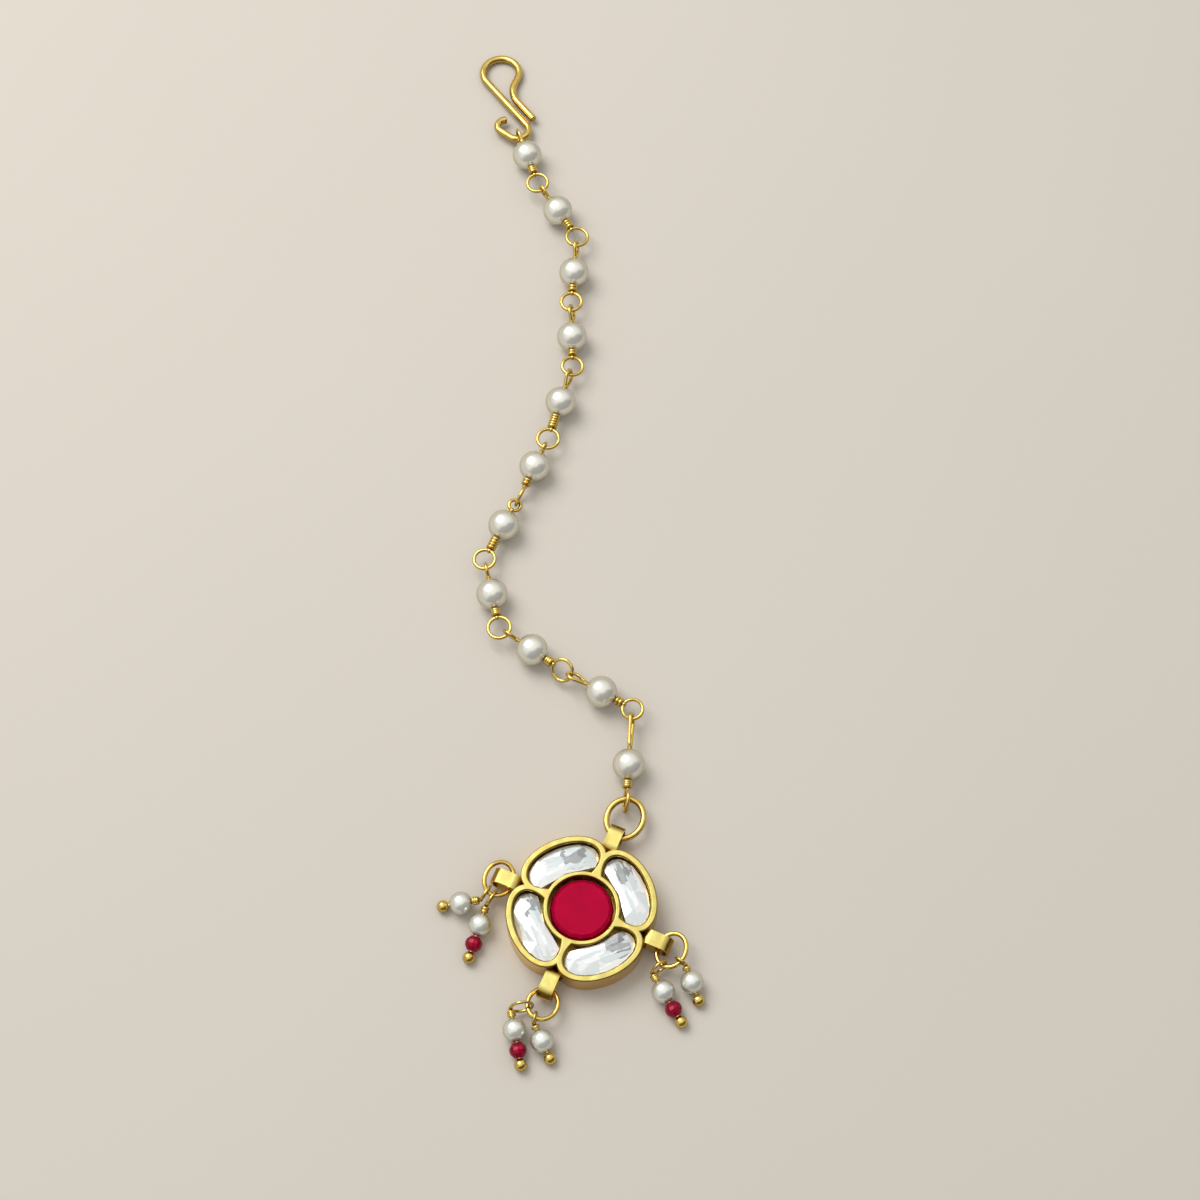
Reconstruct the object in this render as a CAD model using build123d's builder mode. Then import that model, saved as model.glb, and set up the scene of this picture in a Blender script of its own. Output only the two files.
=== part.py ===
from build123d import *
import math
import os

# Maang tikka: a hair jewel with a hook, a chain of pearls on wrapped wire links
# and a stone-set flower pendant with three pairs of small drops. It lies flat
# on a surface at Z = 0, with +Y running from the pendant to the hook. Millimetres.

# ---------------------------------------------------------------- dimensions
GAP = 0.1                       # air between two loose pieces
SEAM_TURN = 45                  # keeps the seam of a turned piece away from its loops
PENDANT = Vector(1.756, -65.85, 0)   # middle of the pendant, seen from above

# pendant: a flower of four oval cells round a round one
CASE_HEIGHT = 4.4
BACK_THICKNESS = 0.8
RIM = 1.0                       # wall round the petal cells
RIM_SOFTENING = 0.22
PETALS = 4
PETAL_TURN = 22.0
PETAL_OFFSET = 7.1              # middle of a petal cell from the pendant's middle
PETAL_DEPTH = 3.15              # half the cell, measured along the radius
PETAL_SPAN = 5.65               # half the cell, measured across the radius
BEZEL_RADIUS = 5.7
CENTRE_CELL_RADIUS = 4.95

# bails: four flat strips bent into loops in the notches between the petals
BAIL_WIDTH = 2.2
BAIL_STRIP = 0.4
BAIL_INNER_END = 9.6
BAIL_OUTER_END = 14.3
BAIL_BOTTOM = 0.55
BAIL_TOP = 3.85
BAIL_CORNER = 1.4
BAIL_FOOT_START = 9.0           # a strip below each bail is soldered to the case
BAIL_TURN = PETAL_TURN + 180 / PETALS

# stones
STONE_FIT = 0.2                 # air between a stone and its cell
STONE_SEAT = 0.1                # air under a stone
PETAL_GIRDLE_HEIGHT = 3.0
PETAL_TABLE_HEIGHT = 3.85
PETAL_GIRDLE_BAND = 0.35
PETAL_TABLE_INSET = 0.7         # table's edge from the girdle's
PETAL_KEEL_INSET = 0.85
PETAL_STONE_SIDES = 15          # corners along the cell's outer wall
PETAL_STONE_SWEEP = 128         # how far round the oval they go, each way
PETAL_BEZEL_SIDES = 4           # facets along the bezel
CENTRE_FACETS = 16
CENTRE_GIRDLE_HEIGHT = 2.9
CENTRE_GIRDLE_BAND = 0.4
CENTRE_TABLE_HEIGHT = 4.0
CENTRE_TABLE_RADIUS = 4.05
CENTRE_BREAK_RADIUS = 4.5       # where the two rows of crown facets meet
CENTRE_BREAK_HEIGHT = 3.7
CENTRE_CULET_RADIUS = 4.05

# pearl chain
PEARL = 5.0
PEARL_LIE = PEARL / 2
LINK_WIRE = 0.55
LINK_DRILL = LINK_WIRE + 2 * GAP
LOOP_FOOT_RADIUS = 0.5          # tight end of a loop, on the pearl
TURN = 0.53                     # radius of a wound turn, in wire diameters
TURN_OFFSET = 0.9               # a turn's middle from the core's, in wire diameters
KNOT = 0.76                     # radius of the bead of metal at a loop's foot, in wire diameters
KNOT_LIFT = 0.56                # its middle from the neck's end, in wire diameters
TIP_FLAT = 0.02                 # depth of the flat on a knot's or ball's tip

# hook
HOOK_WIRE = 1.25
HOOK_CURL_LIE = 1.47            # middle of the wire where the chain hangs
HOOK_DIRECTION = 95.0
HOOK_LENGTH = 17.5              # curl to the top of the big loop
HOOK_SOFTENING = 0.3            # rounding of the two cut ends

# drops
DROP_PEARL = 3.5
BALL = 1.9
RED_BEAD = 2.6
RED_BEAD_LENGTH = 2.2
RED_BEAD_FACETS = 12
RED_BEAD_BREAK = 0.45           # where two rows of facets meet, as a share of half its length
RED_BEAD_SHOULDER = 0.92        # its radius there, as a share of the full radius
RED_BEAD_END = 0.52             # its radius at the ends
PIN_WIRE = 0.45
PIN_DRILL = PIN_WIRE + 2 * GAP
PIN_SLACK = 0.2                 # play of a pin's eye on its ring

# -------------------------------------------------------------------- tables
# Links run from the pendant (11) up to the hook (1). heading: way the link
# points, anticlockwise from +X. slack: play in the joint below it. neck: from
# the pearl to the eye, knot included. reach: end of the upper loop, from the pearl's middle.
# width: half the upper loop. eye: radius of the lower loop. loop_roll,
# eye_roll: 0 lies flat, 90 stands upright. dip: how far the upper loop is bent
# down. Loops that hold each other are rolled about a right angle apart.
LINK_COLUMNS = ("number", "heading", "slack", "neck", "reach", "width",
                "eye", "loop_roll", "eye_roll", "dip")
LINK_ROWS = (
    (11, 86, 1.38, 1.5, 8.2, 0.90, 1.70, 75, 80, 0),
    (10, 149, 0.15, 1.4, 6.0, 1.15, 1.55, 48, 4, 0),
    (9, 144, 0.15, 1.5, 5.3, 1.00, 1.70, 78, 42, 0),
    (8, 102, 0.15, 1.5, 5.2, 1.00, 1.75, 85, 5, 0),
    (7, 64, 0.15, 2.4, 4.8, 0.93, 1.65, 10, 4, 0),
    (6, 67, 0.15, 1.4, 4.4, 0.75, 1.70, 95, 78, 0),
    (5, 74, 0.15, 2.7, 5.9, 1.10, 1.72, 75, 0, 0),
    (4, 91, 0.15, 1.3, 5.7, 1.15, 1.65, 72, -4, 0),
    (3, 86, 0.15, 1.4, 5.9, 1.20, 1.65, 80, 0, 0),
    (2, 122, 0.15, 1.8, 5.5, 1.05, 1.75, 85, -4, 0),
    (1, 108, 0.15, 1.6, 5.8, 1.30, 1.70, 88, 4, 30),
)

# The hook's wire from its free end: a straight run, then an arc (turn in
# degrees, positive to the left).
HOOK_START = (2.7, 3.8)         # from the point that carries the chain
HOOK_START_HEADING = 122.0
HOOK_COLUMNS = ("run", "radius", "turn")
HOOK_ROWS = (
    (4.8, 4.0, -60),            # free arm and pinch
    (1.1, 3.1, 240),            # big loop
    (11.6, 1.9, -165),          # shank and curl
    (2.2, 1.25, -130),
    (0.6, 0.0, 0),              # end of the curl
)

# Jump rings hang in the bails. angle, distance: middle of the ring from the
# pendant's. across, along: outer size over and along the radius. lie: height of
# its middle. tilt: how far its outer end is raised, in degrees.
RING_COLUMNS = ("name", "angle", "distance", "across", "along", "wire", "lie", "tilt")
RING_ROWS = (
    ("top_ring", 66.2, 15.95, 6.4, 7.3, 0.95, 2.15, 0),
    ("left_ring", 157.5, 13.3, 6.0, 4.9, 0.70, 2.35, 8),
    ("bottom_ring", -112.0, 15.0, 5.1, 5.5, 0.70, 2.35, 8),
    ("right_ring", -24.0, 14.4, 6.0, 4.9, 0.70, 2.35, 8),
)

# Drops. x, y: the pearl's middle from the pendant's. heading: way the pin
# points, from its ball to its neck. neck: length of the wound turns. red: with
# a red bead. clock: where its loop holds the ring, anticlockwise from the ring's
# outermost point.
DROP_COLUMNS = ("name", "ring", "x", "y", "heading", "neck", "red", "clock")
DROP_ROWS = (
    ("left_a", "left_ring", -17.9, 1.5, 5, 1.0, False, 66),
    ("left_b", "left_ring", -15.0, -1.8, 72, 0.9, True, 96),
    ("bottom_a", "bottom_ring", -9.7, -17.6, 101, 1.0, True, -62),
    ("bottom_b", "bottom_ring", -5.7, -19.2, 116, 0.6, False, -5),
    ("right_a", "right_ring", 11.9, -11.9, 121, 1.0, True, -100),
    ("right_b", "right_ring", 16.1, -10.5, 111, 0.6, False, -23),
)


# ------------------------------------------------------------------- helpers
def rows(columns, table):
    return [dict(zip(columns, row)) for row in table]


def direction(heading, rise=0.0):
    """A unit vector at a heading seen from above, rising by an angle."""
    flat = math.cos(math.radians(rise))
    return Vector(flat * math.cos(math.radians(heading)),
                  flat * math.sin(math.radians(heading)),
                  math.sin(math.radians(rise)))


def stand_on(origin, axis, roll=0.0):
    """A plane whose Z runs along a bead's hole and whose X is level, then rolled."""
    level = axis.cross(Vector(0, 0, 1)).normalized()
    return Plane(origin, x_dir=level.rotate(Axis((0, 0, 0), axis), roll), z_dir=axis)


def beside(plane):
    """The plane that holds the hole's axis as its Y, for profiles and loops."""
    return Plane(plane.origin, x_dir=plane.x_dir, z_dir=plane.x_dir.cross(plane.z_dir))


def save(piece, label):
    piece.part.label = label
    export_step(piece.part, f"parts/{label}.step")


# --------------------------------------------------------------- wire shapes
def wound_shaft(plane, start, neck_start, neck, wire, ball=0.0):
    """The straight wire through a bead, its wound neck and the knot under its eye.

    The near end is a knot too, or a ball. Both tips have a small flat.
    """
    knot_height = neck_start + neck + KNOT_LIFT * wire
    turns = max(2, 1 + math.ceil((neck - wire) / wire))
    pitch = (neck - wire) / (turns - 1)
    near_radius = ball / 2 or KNOT * wire
    low = start - near_radius + TIP_FLAT
    high = knot_height + KNOT * wire - TIP_FLAT
    width = max(near_radius, 2 * wire)
    seam = Plane(plane.origin, x_dir=plane.x_dir.rotate(Axis((0, 0, 0), plane.z_dir), SEAM_TURN),
                 z_dir=plane.z_dir)
    with BuildSketch(beside(seam)) as profile:
        with Locations((0, (start + knot_height) / 2)):
            Rectangle(wire, knot_height - start)
        with Locations(*[(TURN_OFFSET * wire, neck_start + wire / 2 + turn * pitch)
                         for turn in range(turns)]):
            Circle(TURN * wire)
        with Locations((0, knot_height)):
            Circle(KNOT * wire)
        with Locations((0, start)):
            Circle(near_radius)
        with Locations((width / 2, (low + high) / 2)):
            Rectangle(width, high - low, mode=Mode.INTERSECT)
    revolve(profile.sketch, axis=Axis(plane.origin, plane.z_dir))


def closed_loop(plane, foot, top, foot_radius, top_radius, wire):
    """A loop of wire drawn along the plane's Y: a tight foot and a wide top."""
    foot_middle = foot + foot_radius
    top_middle = top - top_radius
    lean = math.asin((top_radius - foot_radius) / (top_middle - foot_middle))
    foot_side = (foot_radius * math.cos(lean), foot_middle - foot_radius * math.sin(lean))
    top_side = (top_radius * math.cos(lean), top_middle - top_radius * math.sin(lean))
    with BuildLine(plane) as path:
        Line(foot_side, top_side)
        ThreePointArc(top_side, (0, top), (-top_side[0], top_side[1]))
        Line((-top_side[0], top_side[1]), (-foot_side[0], foot_side[1]))
        ThreePointArc((-foot_side[0], foot_side[1]), (0, foot), foot_side)
    with BuildSketch(Plane(path.line @ 0, z_dir=path.line % 0)) as section:
        Circle(wire / 2)
    sweep(section.sketch, path=path.line)


def round_eye(plane, foot, radius, wire):
    """A round loop of wire that starts at foot on the plane's Y."""
    centre = plane.from_local_coords(Vector(0, foot + radius, 0))
    with Locations(Plane(centre, x_dir=plane.x_dir, z_dir=plane.z_dir)):
        Torus(radius, wire / 2)


# --------------------------------------------------------------------- beads
def drilled_pearl(label, centre, axis, diameter, drill):
    with BuildPart(stand_on(centre, axis)) as pearl:
        Sphere(diameter / 2)
        Cylinder(drill / 2, 2 * diameter, mode=Mode.SUBTRACT)
    save(pearl, label)


def faceted_bead(label, centre, axis):
    """A red bead cut in four bands of flat facets, drilled along its axis."""
    sections = ((-1, RED_BEAD_END), (-RED_BEAD_BREAK, RED_BEAD_SHOULDER), (0, 1),
                (RED_BEAD_BREAK, RED_BEAD_SHOULDER), (1, RED_BEAD_END))
    plane = stand_on(centre, axis)
    with BuildPart() as bead:
        for height, share in sections:
            with BuildSketch(plane.offset(height * RED_BEAD_LENGTH / 2)):
                RegularPolygon(share * RED_BEAD / 2, RED_BEAD_FACETS)
        loft(ruled=True)
        with Locations(plane):
            Cylinder(PIN_DRILL / 2, 2 * RED_BEAD_LENGTH, mode=Mode.SUBTRACT)
    save(bead, label)


# ------------------------------------------------------------------- pendant
def petal_places():
    return PolarLocations(PETAL_OFFSET, PETALS, start_angle=PETAL_TURN)


def pendant_plane(height):
    return Plane(PENDANT + Vector(0, 0, height))


def make_setting():
    """Back, walls and bails: one soldered piece."""
    with BuildPart() as setting:
        with BuildSketch(pendant_plane(0)):
            with petal_places():
                Ellipse(PETAL_DEPTH + RIM, PETAL_SPAN + RIM)
            Circle(BEZEL_RADIUS)
        extrude(amount=CASE_HEIGHT)
        for notch in range(PETALS):
            out = direction(BAIL_TURN + notch * 360 / PETALS)
            with BuildSketch(Plane(PENDANT, x_dir=out, z_dir=out.cross(Vector(0, 0, 1)))):
                with Locations(((BAIL_INNER_END + BAIL_OUTER_END) / 2, (BAIL_BOTTOM + BAIL_TOP) / 2)):
                    bail_outline(0)
                    bail_outline(BAIL_STRIP, Mode.SUBTRACT)
                foot_end = BAIL_INNER_END + BAIL_CORNER
                with Locations(((BAIL_FOOT_START + foot_end) / 2, BAIL_BOTTOM + BAIL_STRIP / 2)):
                    Rectangle(foot_end - BAIL_FOOT_START, BAIL_STRIP)
            extrude(amount=BAIL_WIDTH / 2, both=True)
        with BuildSketch(pendant_plane(BACK_THICKNESS)):
            with petal_places():
                Ellipse(PETAL_DEPTH, PETAL_SPAN)
            Circle(BEZEL_RADIUS, mode=Mode.SUBTRACT)
            Circle(CENTRE_CELL_RADIUS)
        extrude(amount=CASE_HEIGHT, mode=Mode.SUBTRACT)
        fillet(setting.edges().group_by(Axis.Z)[-1], RIM_SOFTENING)
    save(setting, "setting")


def bail_outline(inset, mode=Mode.ADD):
    RectangleRounded(BAIL_OUTER_END - BAIL_INNER_END - 2 * inset, BAIL_TOP - BAIL_BOTTOM - 2 * inset,
                     BAIL_CORNER - inset, mode=mode)


def make_centre_stone():
    """A low round stone: table, two rows of crown facets, girdle and pavilion."""
    radius = CENTRE_CELL_RADIUS - STONE_FIT
    girdle_foot = CENTRE_GIRDLE_HEIGHT - CENTRE_GIRDLE_BAND
    sections = (
        (BACK_THICKNESS + STONE_SEAT, CENTRE_CULET_RADIUS),
        (girdle_foot, radius),
        (CENTRE_GIRDLE_HEIGHT, radius),
        (CENTRE_BREAK_HEIGHT, CENTRE_BREAK_RADIUS),
        (CENTRE_TABLE_HEIGHT, CENTRE_TABLE_RADIUS),
    )
    with BuildPart() as stone:
        for height, reach in sections:
            with BuildSketch(pendant_plane(height)):
                RegularPolygon(reach, CENTRE_FACETS)
        loft(ruled=True)
    save(stone, "centre_stone")


def petal_stone_points():
    """Corners of a petal stone: round the oval cell, then back along the bezel."""
    span = PETAL_SPAN - STONE_FIT
    depth = PETAL_DEPTH - STONE_FIT
    bezel = BEZEL_RADIUS + STONE_FIT
    points = []
    for step in range(PETAL_STONE_SIDES):
        angle = math.radians(-PETAL_STONE_SWEEP + 2 * PETAL_STONE_SWEEP * step / (PETAL_STONE_SIDES - 1))
        points.append(Vector(PETAL_OFFSET + depth * math.cos(angle), span * math.sin(angle)))
    end = math.degrees(math.atan2(points[-1].Y, points[-1].X))
    for step in range(1, PETAL_BEZEL_SIDES):
        points.append(direction(end * (1 - 2 * step / PETAL_BEZEL_SIDES)) * bezel)
    return points


def moved_in(points, inset):
    """The corners of a polygon whose sides have all moved inwards."""
    moved = []
    for before, corner, after in zip(points[-1:] + points[:-1], points, points[1:] + points[:1]):
        inwards = [Vector(0, 0, 1).cross((end - start).normalized())
                   for start, end in ((before, corner), (corner, after))]
        moved.append(corner + (inwards[0] + inwards[1]) * (inset / (1 + inwards[0].dot(inwards[1]))))
    return moved


def make_petal_stone(label, turn):
    """An oval stone that follows the bezel on its inner side."""
    sections = (
        (BACK_THICKNESS + STONE_SEAT, PETAL_KEEL_INSET),
        (PETAL_GIRDLE_HEIGHT - PETAL_GIRDLE_BAND, 0),
        (PETAL_GIRDLE_HEIGHT, 0),
        (PETAL_TABLE_HEIGHT, PETAL_TABLE_INSET),
    )
    with BuildPart() as stone:
        for height, inset in sections:
            with BuildSketch(pendant_plane(height).rotated((0, 0, turn))):
                with BuildLine():
                    Polyline(*moved_in(petal_stone_points(), inset), close=True)
                make_face()
        loft(ruled=True)
    save(stone, label)


def make_stones():
    make_centre_stone()
    for petal in range(PETALS):
        make_petal_stone(f"petal_stone_{petal + 1}", PETAL_TURN + petal * 360 / PETALS)


# --------------------------------------------------------------------- rings
def make_ring(ring):
    """A jump ring, bent slightly oval, lying through its bail."""
    out = direction(ring["angle"])
    across = out.cross(Vector(0, 0, 1))
    middle = PENDANT + out * ring["distance"] + Vector(0, 0, ring["lie"])
    plane = Plane(middle, x_dir=direction(ring["angle"], ring["tilt"]),
                  z_dir=direction(ring["angle"], ring["tilt"]).cross(across) * -1)
    ring["plane"] = plane
    ring["reach"] = ((ring["along"] - ring["wire"]) / 2, (ring["across"] - ring["wire"]) / 2)
    with BuildPart() as wire_ring:
        with BuildLine(plane) as path:
            EllipticalCenterArc((0, 0), *ring["reach"], start_angle=0, arc_size=360)
        with BuildSketch(Plane(path.line @ 0, z_dir=path.line % 0)):
            Circle(ring["wire"] / 2)
        sweep(path=path.line)
    save(wire_ring, ring["name"])


def ring_point(ring, clock):
    """A point on the middle of a ring's wire."""
    along, across = ring["reach"]
    turn = math.radians(clock)
    return ring["plane"].from_local_coords(Vector(along * math.cos(turn), across * math.sin(turn), 0))


# --------------------------------------------------------------------- chain
def make_link(link, pearl_middle):
    """One pearl and the wire through it: wrapped eye below, plain loop above."""
    axis = direction(link["heading"])
    skin = PEARL / 2 + GAP
    eye_foot = skin + link["neck"]
    foot = skin + LINK_WIRE / 2 * (1 + math.sin(math.radians(link["dip"])) / 2)
    down = stand_on(pearl_middle, axis * -1, link["eye_roll"])
    up = stand_on(pearl_middle + axis * foot, direction(link["heading"], -link["dip"]), link["loop_roll"])
    with BuildPart() as wire:
        wound_shaft(down, -foot, skin, link["neck"] - KNOT_LIFT * LINK_WIRE, LINK_WIRE)
        round_eye(beside(down), eye_foot, link["eye"], LINK_WIRE)
        closed_loop(beside(up), 0, link["reach"] - foot, LOOP_FOOT_RADIUS, link["width"], LINK_WIRE)
    save(wire, f"link_wire_{link['number']:02d}")
    drilled_pearl(f"pearl_{link['number']:02d}", pearl_middle, axis, PEARL, LINK_DRILL)
    return up.from_local_coords(Vector(0, 0, link["reach"] - foot - link["width"]))


def make_chain(ring):
    """Each link hangs its eye in the loop below; returns where the hook goes."""
    links = rows(LINK_COLUMNS, LINK_ROWS)
    pull = direction(links[0]["heading"])
    ring_middle = PENDANT + direction(ring["angle"]) * ring["distance"] + Vector(0, 0, PEARL_LIE)
    held = ring["reach"][0] - (ring["wire"] + LINK_WIRE) / 2 - links[0]["slack"]
    eye_middle = ring_middle + pull * (held + links[0]["eye"])
    for link, above in zip(links, links[1:] + [None]):
        pull = direction(link["heading"])
        pearl_middle = eye_middle + pull * (PEARL / 2 + GAP + link["neck"] + link["eye"])
        loop_middle = make_link(link, pearl_middle)
        if above:
            eye_middle = pearl_middle + pull * (link["reach"] + above["eye"] - LINK_WIRE - above["slack"])
    return loop_middle


# ---------------------------------------------------------------------- hook
def make_hook(held_at):
    """Bent wire: free arm, big loop, shank and the curl that carries the chain."""
    lift = math.degrees(math.asin((HOOK_CURL_LIE - HOOK_WIRE / 2) / HOOK_LENGTH))
    along = direction(HOOK_DIRECTION, -lift)
    across = direction(HOOK_DIRECTION - 90)
    plane = Plane(Vector(held_at.X, held_at.Y, HOOK_CURL_LIE), x_dir=across, z_dir=across.cross(along))
    with BuildLine() as bends:
        place = Vector(*HOOK_START)
        heading = HOOK_START_HEADING
        for bend in rows(HOOK_COLUMNS, HOOK_ROWS):
            place = Line(place, place + direction(heading) * bend["run"]) @ 1
            if bend["turn"]:
                place = JernArc(place, direction(heading), bend["radius"], bend["turn"]) @ 1
                heading += bend["turn"]
    path = bends.line.moved(plane.location)
    with BuildPart() as hook:
        with BuildSketch(Plane(path @ 0, z_dir=path % 0)):
            Circle(HOOK_WIRE / 2)
        sweep(path=path)
        fillet([cut.outer_wire().edges()[0] for cut in hook.faces().filter_by(GeomType.PLANE)],
               HOOK_SOFTENING)
    save(hook, "hook")


# --------------------------------------------------------------------- drops
def make_drop(drop, ring):
    """A pin with a ball at its foot and a wrapped loop on the ring, and its beads."""
    pearl_step = BALL / 2 + GAP + DROP_PEARL / 2
    if drop["red"]:
        pearl_step += RED_BEAD_LENGTH + GAP
    rise = math.degrees(math.asin((DROP_PEARL - BALL) / 2 / pearl_step))
    if drop["red"]:
        red_step = BALL / 2 + GAP + RED_BEAD_LENGTH / 2
        rise = math.degrees(math.asin((RED_BEAD - BALL) / 2 / red_step))
    axis = direction(drop["heading"], rise)
    ball_lie = BALL / 2
    pearl_lie = ball_lie + pearl_step * math.sin(math.radians(rise))
    pearl_middle = PENDANT + Vector(drop["x"], drop["y"], pearl_lie)
    ball_middle = pearl_middle - axis * pearl_step
    neck_start = DROP_PEARL / 2 + GAP
    knot = pearl_middle + axis * (neck_start + drop["neck"] + KNOT_LIFT * PIN_WIRE)
    held = ring_point(ring, drop["clock"])
    reach = held - knot
    eye = (reach.length + (PIN_WIRE + ring["wire"]) / 2 + PIN_SLACK) / 2
    towards = reach.normalized()
    along_ring = (ring_point(ring, drop["clock"] + 1) - ring_point(ring, drop["clock"] - 1)).normalized()
    normal = (along_ring - towards * along_ring.dot(towards)).normalized()
    with BuildPart() as pin:
        wound_shaft(stand_on(ball_middle, axis), 0, pearl_step + neck_start, drop["neck"], PIN_WIRE, BALL)
        round_eye(Plane(knot, x_dir=towards.cross(normal), z_dir=normal), 0, eye, PIN_WIRE)
    save(pin, f"pin_{drop['name']}")
    drilled_pearl(f"drop_pearl_{drop['name']}", pearl_middle, axis, DROP_PEARL, PIN_DRILL)
    if drop["red"]:
        faceted_bead(f"red_bead_{drop['name']}", ball_middle + axis * red_step, axis)


os.makedirs("parts", exist_ok=True)
make_setting()
make_stones()
rings = {ring["name"]: ring for ring in rows(RING_COLUMNS, RING_ROWS)}
for ring in rings.values():
    make_ring(ring)
make_hook(make_chain(rings["top_ring"]))
for drop in rows(DROP_COLUMNS, DROP_ROWS):
    make_drop(drop, rings[drop["ring"]])
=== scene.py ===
import math

import bpy
from bpy.props import FloatProperty, FloatVectorProperty, IntProperty, PointerProperty
from mathutils import Matrix, Vector


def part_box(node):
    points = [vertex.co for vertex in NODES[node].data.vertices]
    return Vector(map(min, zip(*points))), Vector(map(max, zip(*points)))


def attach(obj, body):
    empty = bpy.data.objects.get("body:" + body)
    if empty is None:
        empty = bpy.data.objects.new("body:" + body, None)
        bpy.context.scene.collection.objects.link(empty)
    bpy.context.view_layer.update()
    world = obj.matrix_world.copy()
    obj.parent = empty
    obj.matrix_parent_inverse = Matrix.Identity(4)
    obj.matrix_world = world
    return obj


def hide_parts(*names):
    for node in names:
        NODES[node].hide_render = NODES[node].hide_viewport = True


bl_info = {
    "name": "Maang Tikka",
    "version": (1, 0, 0),
    "blender": (4, 5, 0),
    "location": "3D View > Sidebar > Tikka",
    "description": "Dresses a pearl and stone maang tikka and lays it on a pale floor",
    "category": "Object",
}

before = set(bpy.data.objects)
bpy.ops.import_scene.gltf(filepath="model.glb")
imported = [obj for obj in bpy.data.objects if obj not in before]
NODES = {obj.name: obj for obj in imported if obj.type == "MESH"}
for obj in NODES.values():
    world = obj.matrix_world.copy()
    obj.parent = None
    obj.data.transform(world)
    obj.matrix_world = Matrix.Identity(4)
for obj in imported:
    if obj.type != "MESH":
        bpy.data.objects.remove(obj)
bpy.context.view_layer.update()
MM = 0.001

# Way each chain link points, anticlockwise from +X, and how far a drop rises
# from its ball to its neck.
CHAIN_COLUMNS = ("pearl", "heading")
CHAIN_ROWS = (
    ("pearl_01", 108), ("pearl_02", 122), ("pearl_03", 86), ("pearl_04", 91),
    ("pearl_05", 74), ("pearl_06", 67), ("pearl_07", 64), ("pearl_08", 102),
    ("pearl_09", 144), ("pearl_10", 149), ("pearl_11", 86),
)
DROP_COLUMNS = ("drop", "heading", "rise", "red")
DROP_ROWS = (
    ("left_a", 5, 16.6, False), ("left_b", 72, 9.4, True), ("bottom_a", 101, 9.4, True),
    ("bottom_b", 116, 16.6, False), ("right_a", 121, 9.4, True), ("right_b", 111, 16.6, False),
)
# turn: way the petal points. dark_reflection_x, dark_reflection_y: middle of the painted dark reflection
# on the foil, from the stone's middle, in millimetres.
STONE_COLUMNS = ("stone", "turn", "dark_reflection_x", "dark_reflection_y")
STONE_ROWS = (
    ("petal_stone_1", 22, -0.6, 2.6), ("petal_stone_2", 112, 1.7, 1.5),
    ("petal_stone_3", 202, -0.5, 3.6), ("petal_stone_4", 292, 2.3, 1.2),
)
GIRDLE = 3.0 * MM               # height of a petal stone's widest line
CROWN = 3.98 * MM               # height of its top before it is cut
# Cuts over a petal stone's crown. way: compass way the facet leans, from the
# petal's outward one. lean: its slope. reach: where it starts, from the stone's
# middle. Angles in degrees, lengths in millimetres.
CUT_COLUMNS = ("way", "lean", "reach")
CUT_ROWS = (
    (0, 15, 0.9), (180, 13, 0.5), (62, 14, 2.6), (-62, 14, 2.6), (90, 17, 3.3), (-90, 17, 3.3),
    (128, 14, 2.7), (-128, 14, 2.7),
)
DARK_REFLECTION_REACH = 1.55 * MM        # how far the painted dark reflection reaches
RINGS = ("top_ring", "left_ring", "bottom_ring", "right_ring")


def rows(columns, table):
    return [dict(zip(columns, row)) for row in table]


# ---------------------------------------------------------------- properties
class GoldSettings(bpy.types.PropertyGroup):
    colour: FloatVectorProperty(name="Setting gold", description="Colour of the setting's satin gilding",
                                subtype="COLOR", size=3, min=0, max=1, default=(0.60, 0.56, 0.19))
    wire_colour: FloatVectorProperty(name="Wire gold", description="Colour of the polished, gilded wire",
                                     subtype="COLOR", size=3, min=0, max=1, default=(0.88, 0.64, 0.175))
    deep_colour: FloatVectorProperty(name="Deep gold", description="Colour where the gilding is thin or worn",
                                     subtype="COLOR", size=3, min=0, max=1, default=(0.60, 0.40, 0.085))
    # painted shade: the darker, more orange gold painted on the setting's walls
    wall_shade: FloatVectorProperty(name="Painted wall shade", description="Colour of the setting's walls",
                                     subtype="COLOR", size=3, min=0, max=1, default=(0.74, 0.46, 0.10))
    # painted shade: the dark colour painted along the setting's edges and on the wires' flanks
    edge_line_shade: FloatVectorProperty(name="Painted edge shade", description="Colour along the setting's edges",
                                     subtype="COLOR", size=3, min=0, max=1, default=(0.29, 0.17, 0.022))
    polish: FloatProperty(name="Wire roughness", description="Roughness of the polished wire",
                          min=0, max=1, default=0.11)
    satin: FloatProperty(name="Satin roughness", description="Roughness of the setting's top faces",
                         min=0, max=1, default=0.36)


class StoneSettings(bpy.types.PropertyGroup):
    red: FloatVectorProperty(name="Red glass", description="Colour of the centre stone and the red beads",
                             subtype="COLOR", size=3, min=0, max=1, default=(0.58, 0.001, 0.046))
    # painted reflection: the cool tint painted on about half the petal stones' facets and in faint clouds
    cool_reflection: FloatVectorProperty(name="Cool painted reflection", description="Colour of the cool reflection painted on about half the facets",
                                   subtype="COLOR", size=3, min=0, max=1, default=(0.74, 0.83, 0.85))
    # painted reflection: the grey of a dark reflection, painted in one patch on each petal stone
    dark_reflection: FloatVectorProperty(name="Painted dark reflection", description="Colour of the dark reflection painted in a patch on the foil",
                                subtype="COLOR", size=3, min=0, max=1, default=(0.26, 0.27, 0.27))
    foil: FloatVectorProperty(name="Foil", description="Colour of the foil on the stones' backs",
                              subtype="COLOR", size=3, min=0, max=1, default=(0.97, 0.99, 1.0))


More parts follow.
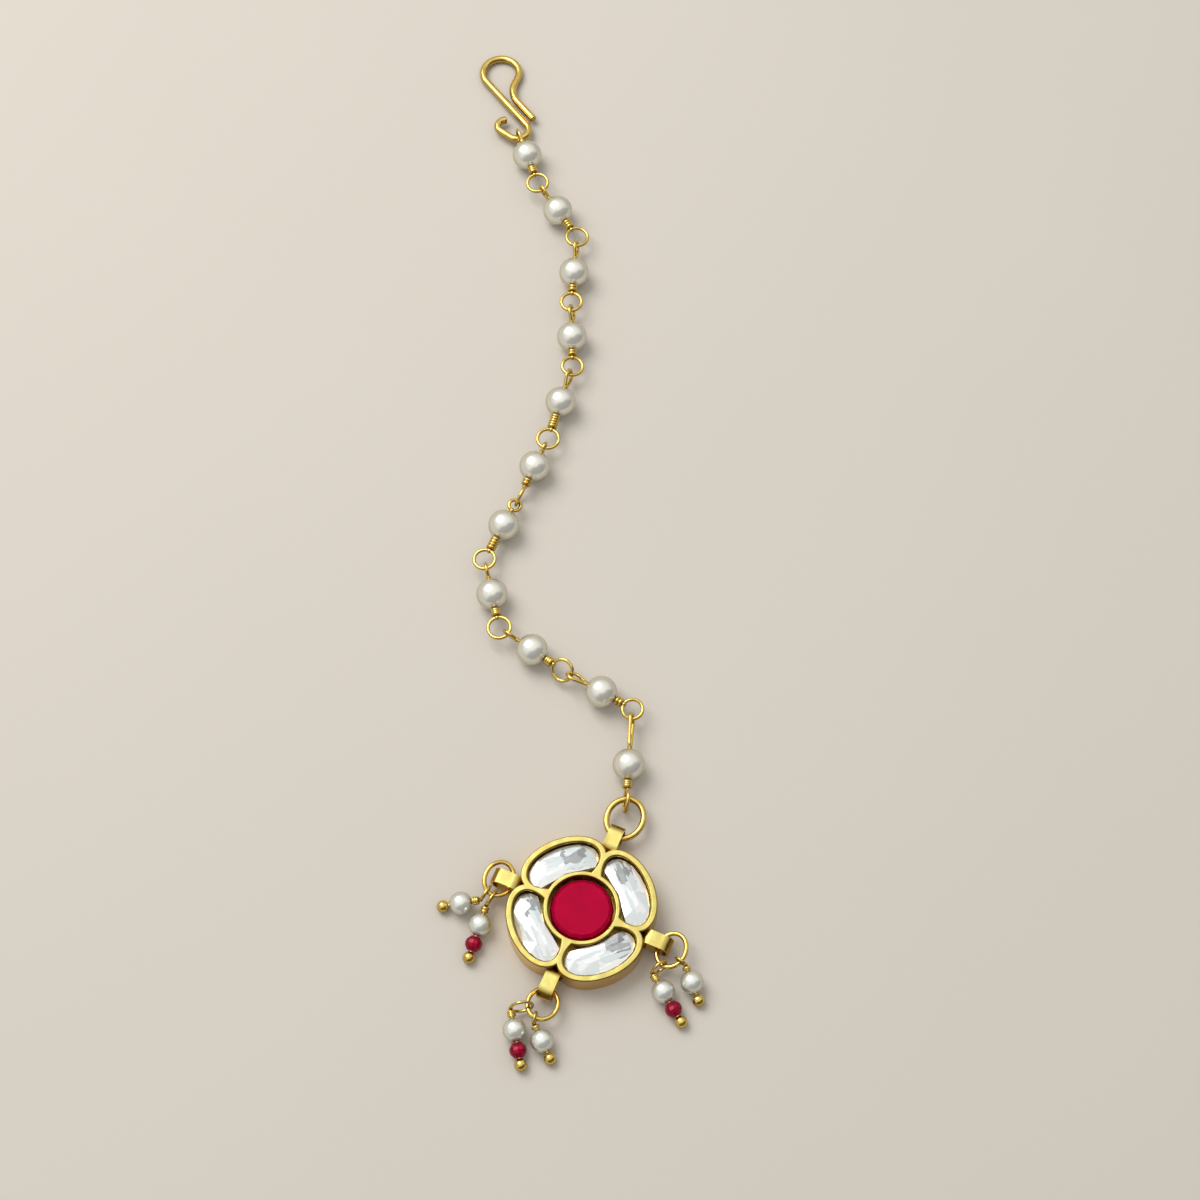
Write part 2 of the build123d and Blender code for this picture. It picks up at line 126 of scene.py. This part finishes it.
class PearlSettings(bpy.types.PropertyGroup):
    cream: FloatVectorProperty(name="Chain pearl", description="Body colour of the chain's pearls",
                               subtype="COLOR", size=3, min=0, max=1, default=(0.97, 0.96, 0.87))
    # painted shade: the darker colour painted at the chain pearls' edges
    cream_edge_shade: FloatVectorProperty(name="Chain pearl's edge", description="Shade painted at the chain pearls' edges",
                                    subtype="COLOR", size=3, min=0, max=1, default=(0.47, 0.42, 0.27))
    cool: FloatVectorProperty(name="Drop pearl", description="Body colour of the drops' pearls",
                              subtype="COLOR", size=3, min=0, max=1, default=(0.95, 0.98, 0.91))
    # painted shade: the darker colour painted at the drop pearls' edges
    cool_edge_shade: FloatVectorProperty(name="Drop pearl's edge", description="Shade painted at the drop pearls' edges",
                                   subtype="COLOR", size=3, min=0, max=1, default=(0.44, 0.42, 0.29))
    unevenness: FloatProperty(name="Unevenness", description="How far a pearl is out of round",
                              subtype="DISTANCE", unit="LENGTH", min=0, default=0.05 * MM)
    segments: IntProperty(name="Segments", description="Faces round a pearl", min=16, max=96, default=48)


class StageSettings(bpy.types.PropertyGroup):
    floor_colour: FloatVectorProperty(name="Floor", description="Colour of the floor", subtype="COLOR",
                                      size=3, min=0, max=1, default=(0.72, 0.675, 0.605))
    lamp_power: FloatProperty(name="Lamp", description="Power of the big soft lamp", unit="POWER",
                              min=0, default=3.4)
    room_low: FloatProperty(name="Low room light", description="Strength of the room's light at the horizon",
                            min=0, default=0.2)
    room_high: FloatProperty(name="High room light", description="Strength of the room's light overhead",
                             min=0, default=0.66)
    room_shine: FloatProperty(name="Room in reflections",
                              description="How much brighter metal and glass show the room",
                              min=0, default=1.5)
    shade_side: FloatProperty(name="Dark side", description="Strength of the room on the side away from the lamp",
                              min=0, default=0.14)
    camera_length: FloatProperty(name="Focal length", description="Focal length of the camera's lens, in mm",
                                 min=1, default=75.0)
    camera_height: FloatProperty(name="Camera height", description="Height of the camera over the floor",
                                 subtype="DISTANCE", unit="LENGTH", default=0.35685)


# -------------------------------------------------------------- shader maths
class Value:
    """A shader socket that adds Math nodes when it is used in sums."""

    def __init__(self, shader, socket):
        self.shader = shader
        self.socket = socket

    def math(self, operation, *others):
        inputs = {index + 1: other for index, other in enumerate(others)}
        inputs[0] = self
        return self.shader.node("ShaderNodeMath", {"operation": operation}, inputs)

    def __add__(self, other):
        return self.math("ADD", other)

    def __mul__(self, other):
        return self.math("MULTIPLY", other)

    def __sub__(self, other):
        return self.math("SUBTRACT", other)

    def __rsub__(self, other):
        return self.shader.node("ShaderNodeMath", {"operation": "SUBTRACT"}, {0: other, 1: self})

    __radd__ = __add__
    __rmul__ = __mul__

    def clamped(self):
        return self.shader.node("ShaderNodeClamp", {}, {0: self})

    def above(self, edge, softness):
        """0 below the edge, 1 above it, with a soft step between."""
        return self.shader.node("ShaderNodeMapRange", {"interpolation_type": "SMOOTHSTEP"},
                                {"Value": self, "From Min": edge - softness, "From Max": edge + softness})


class Shader:
    """A material or a world whose nodes are added one call at a time."""

    def __init__(self, owner):
        self.owner = owner
        owner.use_nodes = True
        self.tree = owner.node_tree
        self.tree.nodes.clear()

    def node(self, kind, settings=None, inputs=None, output=0):
        node = self.tree.nodes.new(kind)
        for name, value in (settings or {}).items():
            setattr(node, name, value)
        for name, value in (inputs or {}).items():
            socket = node.inputs[name]
            if isinstance(value, Value):
                self.tree.links.new(value.socket, socket)
            else:
                socket.default_value = (*value, 1.0) if socket.type == "RGBA" and len(value) == 3 else value
        return Value(self, node.outputs[output]) if node.outputs else None

    def place(self):
        return self.node("ShaderNodeTexCoord", output="Object")

    def normal(self, part):
        """One part, X, Y or Z, of the surface's normal."""
        normal = self.node("ShaderNodeNewGeometry", output="Normal")
        return self.node("ShaderNodeSeparateXYZ", {}, {0: normal}, output=part)

    def noise(self, scale, detail=3.0, roughness=0.55):
        return self.node("ShaderNodeTexNoise", {}, {"Vector": self.place(), "Scale": scale,
                                                    "Detail": detail, "Roughness": roughness})

    def mix(self, share, first, second):
        return self.node("ShaderNodeMix", {"data_type": "RGBA"}, {0: share, 6: first, 7: second}, output=2)

    def blend(self, share, first, second):
        return self.node("ShaderNodeMixShader", {}, {0: share, 1: first, 2: second})

    def bump(self, height, distance, strength=1.0):
        return self.node("ShaderNodeBump", {}, {"Height": height, "Distance": distance,
                                                "Strength": strength})

    def principled(self, **inputs):
        named = {name.replace("_", " "): value for name, value in inputs.items()}
        return self.node("ShaderNodeBsdfPrincipled", {}, named)

    def band(self, value, low, high, softness):
        """1 where a value lies between two edges, 0 elsewhere."""
        return value.above(low, softness) * (1 - value.above(high, softness))

    def finish(self, surface, kind="ShaderNodeOutputMaterial"):
        self.node(kind, {}, {"Surface": surface})
        return self.owner


def new_shader(name):
    return Shader(bpy.data.materials.new(name))


# ----------------------------------------------------------------- materials
def gold_wire():
    """Polished gilded wire: drawn scratches, a little tone where it was bent, and painted shade on its flanks."""
    gold = bpy.context.scene.tikka_gold
    shader = new_shader("gold_wire")
    patches = shader.noise(900.0).above(0.55, 0.25)
    grain = shader.noise(9000.0, 2.0)
    # painted shade: the steeper the wire's face, the more it darkens towards the edge shade
    flank_shade = 1 - shader.normal("Z").above(0.42, 0.3)
    gilding = shader.mix(patches * 0.7, gold.wire_colour, gold.deep_colour)
    surface = shader.principled(
        Base_Color=shader.mix(flank_shade * 0.75, gilding, gold.edge_line_shade),
        Metallic=1.0,
        Roughness=gold.polish + 0.08 * patches * grain,
        Normal=shader.bump(grain, 0.003 * MM),
    )
    return shader.finish(surface)


def gold_cast():
    """Gilded setting: satin on top, painted shade on its walls, and painted shade lines along its edges."""
    gold = bpy.context.scene.tikka_gold
    shader = new_shader("gold_cast")
    slope = shader.normal("Z")
    top = slope.above(0.9, 0.06)
    # painted shade: dark lines painted along the rounded edges between the tops and the walls
    edge = shader.band(slope, 0.2, 0.86, 0.12)
    patches = shader.noise(450.0).above(0.5, 0.3)
    grain = shader.noise(5000.0, 4.0, 0.7)
    dents = shader.noise(420.0, 1.0)
    # painted shade: every face that is not on top takes the wall shade
    gilding = shader.mix(top, gold.wall_shade, shader.mix(patches * 0.6, gold.colour, gold.deep_colour))
    surface = shader.principled(
        Base_Color=shader.mix(edge * 0.9, gilding, gold.edge_line_shade),
        Metallic=1.0,
        Roughness=gold.polish + 0.04 + top * (gold.satin - gold.polish) + 0.12 * grain * patches,
        Normal=shader.bump(0.12 * grain + dents, 0.12 * MM),
    )
    return shader.finish(surface)


def foiled_stone(name, middle, turn, dark_reflection):
    """Pale cut glass over silver foil: long facets with painted pale and cool reflections, and a grey painted dark
    reflection in one patch.
    """
    stones = bpy.context.scene.tikka_stones
    shader = new_shader(name)
    from_dark_reflection = shader.node("ShaderNodeVectorMath", {"operation": "DISTANCE"},
                              {0: shader.place(), 1: dark_reflection}, output="Value")
    long_way = shader.node("ShaderNodeMapping", {"vector_type": "TEXTURE"},
                           {"Vector": shader.place(), "Location": middle, "Rotation": (0, 0, turn),
                            "Scale": (1.0, 3.2, 1.0)})
    facet = shader.node("ShaderNodeTexVoronoi", {"distance": "MINKOWSKI"},
                        {"Vector": long_way, "Scale": 1100.0, "Exponent": 0.8}, output="Color")
    tone = shader.node("ShaderNodeSeparateColor", {}, {0: facet}, output="Red")
    tilt = shader.node("ShaderNodeSeparateColor", {}, {0: facet}, output="Green")
    # painted reflection: a grey dark reflection round one spot, its edge ragged along the facets
    dark_reflection_patch = 1 - (from_dark_reflection + 2.0 * MM * (tone - 0.5)).above(DARK_REFLECTION_REACH, 0.03 * MM)
    # painted reflection: each long facet is painted bright or cool
    pale = shader.mix(tone.above(0.55, 0.02) * 0.8, stones.foil, stones.cool_reflection)
    tint = shader.mix(dark_reflection_patch * (0.7 + 0.3 * tilt), pale, stones.dark_reflection)
    cloud = shader.noise(900.0, 2.0)
    # painted reflection: faint clouds of the cool tint over the whole stone
    surface = shader.principled(Base_Color=shader.mix(cloud * 0.25, tint, stones.cool_reflection), Metallic=0.55,
                                Roughness=0.1 + 0.12 * tilt, IOR=1.5, Coat_Weight=0.6, Coat_Roughness=0.02,
                                Normal=shader.bump(tone + 0.3 * cloud, 0.02 * MM))
    return shader.finish(surface)


def crimson_glass(name, haze, shine, edge_shade_share):
    """Deep crimson glass on red foil: even colour, with painted shade that deepens it at its edges and on its
    sides, under a polished skin.
    """
    stones = bpy.context.scene.tikka_stones
    shader = new_shader(name)
    cloud = shader.noise(260.0, 2.0)
    facing = shader.node("ShaderNodeLayerWeight", {}, {"Blend": 0.5}, output="Facing")
    deep = tuple(part * 0.4 for part in stones.red)
    base = shader.mix(cloud.above(0.5, 0.3) * haze, stones.red, deep)
    # painted shade: darker at grazing angles and on faces that are not on top
    edges = facing.above(0.4, 0.35) + 0.7 * (1 - shader.normal("Z").above(0.92, 0.04))
    surface = shader.principled(Base_Color=shader.mix(edges.clamped() * edge_shade_share, base, deep),
                                Roughness=0.12 + 0.08 * cloud, IOR=1.12, Coat_Weight=shine,
                                Coat_Roughness=0.03)
    return shader.finish(surface)


def pearl_skin(name, body, pearl_edge_shade, scale):
    """Nacre: a bright silvery middle, painted shade at its edges, faint clouds and fine wrinkles."""
    shader = new_shader(name)
    facing = shader.node("ShaderNodeLayerWeight", {}, {"Blend": 0.5}, output="Facing")
    clouds = shader.noise(scale, 2.0)
    wrinkles = shader.noise(scale * 2.6, 3.0, 0.6)
    base = shader.mix(clouds.above(0.5, 0.4) * 0.5, body, tuple(part * 0.93 for part in body))
    # painted shade: the edge colour is mixed in at grazing angles
    base = shader.mix(facing.above(0.42, 0.4), base, pearl_edge_shade)
    surface = shader.principled(
        Base_Color=base, Roughness=0.2 + 0.1 * wrinkles, Metallic=0.5, IOR=1.6,
        Coat_Weight=1.0, Coat_Roughness=0.04,
        Normal=shader.bump(wrinkles + 0.5 * clouds, 0.009 * MM),
    )
    return shader.finish(surface)


def floor_paint():
    stage = bpy.context.scene.tikka_stage
    shader = new_shader("floor")
    mottle = shader.noise(14.0, 4.0)
    fibre = shader.noise(900.0, 3.0)
    paler = tuple(min(1, part * 1.03) for part in stage.floor_colour)
    surface = shader.principled(Base_Color=shader.mix(mottle, stage.floor_colour, paler), Roughness=0.85,
                                Normal=shader.bump(fibre, 0.05 * MM, 0.4))
    return shader.finish(surface)


def wear(obj, material):
    """Puts a material in every slot of a piece."""
    if not obj.material_slots:
        obj.data.materials.append(material)
    for slot in obj.material_slots:
        slot.material = material


# ------------------------------------------------------------------ modelling
def deselect_all():
    if bpy.context.object and bpy.context.object.mode != "OBJECT":
        bpy.ops.object.mode_set(mode="OBJECT")
    bpy.ops.object.select_all(action="DESELECT")


def activate(obj):
    deselect_all()
    obj.select_set(True)
    bpy.context.view_layer.objects.active = obj


def pick(obj, test, kind="VERT"):
    """In edit mode, selects exactly what passes a test on its middle."""
    bpy.ops.mesh.select_mode(type=kind)
    bpy.ops.mesh.select_all(action="DESELECT")
    bpy.ops.object.mode_set(mode="OBJECT")
    mesh = obj.data
    if kind == "VERT":
        for vertex in mesh.vertices:
            vertex.select = test(vertex.co)
    elif kind == "EDGE":
        for edge in mesh.edges:
            edge.select = all(test(mesh.vertices[corner].co) for corner in edge.vertices)
    else:
        for face in mesh.polygons:
            face.select = test(face.center)
    bpy.ops.object.mode_set(mode="EDIT")


def settle(obj, name, material):
    """Applies a finished piece's place, names it and hands it to the frame's body."""
    activate(obj)
    bpy.ops.object.transform_apply(location=True, rotation=True, scale=True)
    obj.name = obj.data.name = name
    wear(obj, material)
    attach(obj, "root")
    return obj


def copy_of(master):
    copy = master.copy()
    copy.data = master.data.copy()
    bpy.context.scene.collection.objects.link(copy)
    return copy


def middle_of(node):
    low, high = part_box(node)
    return (low + high) / 2


def along(heading, rise=0.0):
    """Turns +Z to a heading seen from above and a rise from level."""
    return Matrix.Rotation(math.radians(heading), 4, "Z") @ Matrix.Rotation(math.radians(90 - rise), 4, "Y")


def model_pearl(diameter, hole, seed):
    """A drilled pearl with its hole along Z, slightly out of round."""
    pearls = bpy.context.scene.tikka_pearls
    deselect_all()
    radius = diameter / 2
    bpy.ops.mesh.primitive_uv_sphere_add(segments=pearls.segments, ring_count=pearls.segments // 2,
                                         radius=radius)
    pearl = bpy.context.object
    bpy.ops.object.mode_set(mode="EDIT")
    rim = math.sqrt(radius ** 2 - (hole / 2) ** 2)
    step = math.pi / (pearls.segments // 2)
    pick(pearl, lambda co: abs(co.z) > radius * math.cos(step / 2))
    bpy.ops.mesh.delete(type="VERT")
    for side in (1, -1):
        pick(pearl, lambda co: co.z * side > radius * math.cos(1.5 * step))
        share = hole / 2 / (radius * math.sin(step))
        bpy.ops.transform.resize(value=(share, share, 1))
        bpy.ops.transform.translate(value=(0, 0, side * (rim - radius * math.cos(step))))
    pick(pearl, lambda co: abs(co.z) > radius * math.cos(1.5 * step), "EDGE")
    bpy.ops.mesh.bridge_edge_loops()
    bpy.ops.mesh.select_all(action="SELECT")
    bpy.ops.mesh.normals_make_consistent(inside=False)
    bpy.ops.object.mode_set(mode="OBJECT")
    clouds = bpy.data.textures.new(f"pearl_unevenness_{seed}", "CLOUDS")
    clouds.noise_scale = 0.8 * diameter
    displace = pearl.modifiers.new("unevenness", "DISPLACE")
    displace.texture = clouds
    displace.strength = pearls.unevenness
    displace.mid_level = 0.85
    bpy.ops.object.modifier_apply(modifier="unevenness")
    bpy.ops.object.shade_smooth_by_angle(angle=math.radians(40))
    return pearl


def model_petal_stone(node, turn, dark_reflection):
    """Widens a petal stone's crown to its girdle and cuts long, low facets over it."""
    stone = copy_of(NODES[node])
    activate(stone)
    bpy.ops.object.mode_set(mode="EDIT")
    bpy.ops.mesh.select_all(action="SELECT")
    bpy.ops.mesh.remove_doubles(threshold=0.001 * MM)
    bpy.ops.mesh.dissolve_limited(angle_limit=math.radians(1))
    pick(stone, lambda co: co.z > GIRDLE + 0.05 * MM)
    bpy.ops.mesh.delete(type="VERT")
    pick(stone, lambda co: co.z > GIRDLE - 0.05 * MM, "EDGE")
    bpy.ops.mesh.edge_face_add()
    bpy.ops.mesh.extrude_region_move(TRANSFORM_OT_translate={"value": (0, 0, CROWN - GIRDLE)})
    middle = middle_of(node)
    for cut in rows(CUT_COLUMNS, CUT_ROWS):
        way = turn + math.radians(cut["way"])
        lean = math.radians(cut["lean"])
        start = (middle.x + cut["reach"] * MM * math.cos(way), middle.y + cut["reach"] * MM * math.sin(way), CROWN)
        facing = (math.sin(lean) * math.cos(way), math.sin(lean) * math.sin(way), math.cos(lean))
        bpy.ops.mesh.select_all(action="SELECT")
        bpy.ops.mesh.bisect(plane_co=start, plane_no=facing, use_fill=True, clear_outer=True,
                            threshold=0.0001 * MM)
    bpy.ops.mesh.select_all(action="SELECT")
    bpy.ops.mesh.remove_doubles(threshold=0.002 * MM)
    bpy.ops.mesh.normals_make_consistent(inside=False)
    bpy.ops.object.mode_set(mode="OBJECT")
    bpy.ops.object.shade_flat()
    stone.data.materials.clear()
    # middle of the painted dark reflection on the crown
    dark_reflection_patch = Vector((middle.x + dark_reflection[0] * MM, middle.y + dark_reflection[1] * MM, CROWN))
    settle(stone, f"{node}_cut", foiled_stone(f"{node}_foil", middle, turn, dark_reflection_patch))
    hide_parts(node)


def string_pearls(master, places, material):
    """Copies a pearl to each CAD pearl's place, each turned a little further round its hole."""
    for index, (node, heading, rise) in enumerate(places):
        pearl = copy_of(master)
        turn = Matrix.Rotation(math.radians(47 * index), 4, "Z")
        pearl.matrix_world = Matrix.Translation(middle_of(node)) @ along(heading, rise) @ turn
        settle(pearl, f"{node}_bead", material)
        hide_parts(node)
    bpy.data.objects.remove(master)


def light_room(world):
    """Even light that grows overhead; reflections show pale walls, and a dark one away from the lamp."""
    stage = bpy.context.scene.tikka_stage
    shader = Shader(world)
    way = shader.node("ShaderNodeTexCoord", output="Generated")
    across, ahead, up = (shader.node("ShaderNodeSeparateXYZ", {}, {0: way}, output=part) for part in "XYZ")
    even = stage.room_low + up * (stage.room_high - stage.room_low)
    behind = (0.5 * across - 0.85 * ahead).above(0.38, 0.08) * (1 - up.above(0.84, 0.05))
    pale = even * stage.room_shine
    shown = pale + behind * (stage.shade_side - pale)
    seen = [shader.node("ShaderNodeLightPath", output=ray) for ray in
            ("Is Camera Ray", "Is Glossy Ray", "Is Transmission Ray")]
    share = (seen[0] + seen[1] + seen[2]).clamped()
    light = shader.node("ShaderNodeBackground", {}, {"Color": (1.0, 0.985, 0.96),
                                                     "Strength": even + share * (shown - even)})
    shader.finish(light, "ShaderNodeOutputWorld")


# ------------------------------------------------------------------ operators
class TIKKA_OT_setting(bpy.types.Operator):
    """Gives the pendant's setting its satin and polished gold"""
    bl_idname = "tikka.setting"
    bl_label = "Setting"

    def execute(self, context):
        wear(NODES["setting"], gold_cast())
        return {"FINISHED"}


class TIKKA_OT_stones(bpy.types.Operator):
    """Gives the pendant's stones their glass and foil"""
    bl_idname = "tikka.stones"
    bl_label = "Stones"

    def execute(self, context):
        for row in rows(STONE_COLUMNS, STONE_ROWS):
            model_petal_stone(row["stone"], math.radians(row["turn"]), (row["dark_reflection_x"], row["dark_reflection_y"]))
        wear(NODES["centre_stone"], crimson_glass("red_stone", 0.3, 0.06, 0.5))
        return {"FINISHED"}


class TIKKA_OT_wires(bpy.types.Operator):
    """Gives the hook, links, rings and pins their polished gold"""
    bl_idname = "tikka.wires"
    bl_label = "Hook, links, rings and pins"

    def execute(self, context):
        polished = gold_wire()
        for name, node in NODES.items():
            if name in RINGS or name == "hook" or name.startswith(("link_wire", "pin")):
                wear(node, polished)
        return {"FINISHED"}


class TIKKA_OT_chain_pearls(bpy.types.Operator):
    """Models the chain's drilled pearls"""
    bl_idname = "tikka.chain_pearls"
    bl_label = "Chain pearls"

    def execute(self, context):
        pearls = context.scene.tikka_pearls
        skin = pearl_skin("chain_pearl", pearls.cream, pearls.cream_edge_shade, 420.0)
        master = model_pearl(5.0 * MM, 0.75 * MM, 1)
        places = [(row["pearl"], row["heading"], 0) for row in rows(CHAIN_COLUMNS, CHAIN_ROWS)]
        string_pearls(master, places, skin)
        return {"FINISHED"}


class TIKKA_OT_drop_pearls(bpy.types.Operator):
    """Models the drops' smaller drilled pearls"""
    bl_idname = "tikka.drop_pearls"
    bl_label = "Drop pearls"

    def execute(self, context):
        pearls = context.scene.tikka_pearls
        skin = pearl_skin("drop_pearl", pearls.cool, pearls.cool_edge_shade, 560.0)
        master = model_pearl(3.5 * MM, 0.65 * MM, 2)
        places = [(f"drop_pearl_{row['drop']}", row["heading"], row["rise"])
                  for row in rows(DROP_COLUMNS, DROP_ROWS)]
        string_pearls(master, places, skin)
        return {"FINISHED"}


class TIKKA_OT_red_beads(bpy.types.Operator):
    """Gives the drops' faceted beads their red glass"""
    bl_idname = "tikka.red_beads"
    bl_label = "Red beads"

    def execute(self, context):
        glass = crimson_glass("red_bead", 0.8, 0.35, 0.9)
        for row in rows(DROP_COLUMNS, DROP_ROWS):
            if row["red"]:
                wear(NODES[f"red_bead_{row['drop']}"], glass)
        return {"FINISHED"}


class TIKKA_OT_stage(bpy.types.Operator):
    """Lays the floor and sets the camera, the lamp and the room's light"""
    bl_idname = "tikka.stage"
    bl_label = "Floor, lamp and camera"

    def execute(self, context):
        stage = context.scene.tikka_stage
        deselect_all()
        bpy.ops.mesh.primitive_grid_add(x_subdivisions=8, y_subdivisions=8, size=4, location=(0, 0, 0))
        floor = bpy.context.object
        floor.name = "floor"
        wear(floor, floor_paint())

        bpy.ops.object.light_add(type="AREA", location=(-0.32, 0.28, 0.62))
        lamp = bpy.context.object
        lamp.name = "window"
        lamp.data.energy = stage.lamp_power
        lamp.data.size = 0.52
        lamp.data.color = (1.0, 0.985, 0.96)
        lamp.rotation_euler = (Vector((0, -0.02, 0)) - lamp.location).to_track_quat("-Z", "Y").to_euler()

        world = bpy.data.worlds.new("room")
        context.scene.world = world
        light_room(world)

        bpy.ops.object.camera_add(location=(0.004456, -0.17688, stage.camera_height),
                                  rotation=(math.radians(24.5), 0, 0))
        camera = bpy.context.object
        camera.data.lens = stage.camera_length
        camera.data.sensor_width = 36.0
        camera.data.clip_start = 0.01
        context.scene.camera = camera
        context.scene.view_settings.view_transform = "Standard"
        return {"FINISHED"}


class TIKKA_PT_panel(bpy.types.Panel):
    """The tikka's pieces, in the order in which they are dressed"""
    bl_idname = "TIKKA_PT_panel"
    bl_label = "Maang Tikka"
    bl_space_type = "VIEW_3D"
    bl_region_type = "UI"
    bl_category = "Tikka"

    def draw(self, context):
        for operator in OPERATORS:
            self.layout.operator(operator.bl_idname)
        for name in SETTINGS:
            group = getattr(context.scene, name)
            for setting in group.__annotations__:
                self.layout.prop(group, setting)


SETTINGS = {"tikka_gold": GoldSettings, "tikka_stones": StoneSettings, "tikka_pearls": PearlSettings,
            "tikka_stage": StageSettings}
OPERATORS = (TIKKA_OT_setting, TIKKA_OT_stones, TIKKA_OT_wires, TIKKA_OT_chain_pearls,
             TIKKA_OT_drop_pearls, TIKKA_OT_red_beads, TIKKA_OT_stage)


def register():
    for group in (*SETTINGS.values(), *OPERATORS, TIKKA_PT_panel):
        bpy.utils.register_class(group)
    for name, group in SETTINGS.items():
        setattr(bpy.types.Scene, name, PointerProperty(type=group))


def unregister():
    for name in SETTINGS:
        delattr(bpy.types.Scene, name)
    for group in (TIKKA_PT_panel, *OPERATORS, *SETTINGS.values()):
        bpy.utils.unregister_class(group)


def main():
    register()
    bpy.ops.tikka.setting()
    bpy.ops.tikka.stones()
    bpy.ops.tikka.wires()
    bpy.ops.tikka.chain_pearls()
    bpy.ops.tikka.drop_pearls()
    bpy.ops.tikka.red_beads()
    bpy.ops.tikka.stage()


if __name__ == "__main__":
    main()
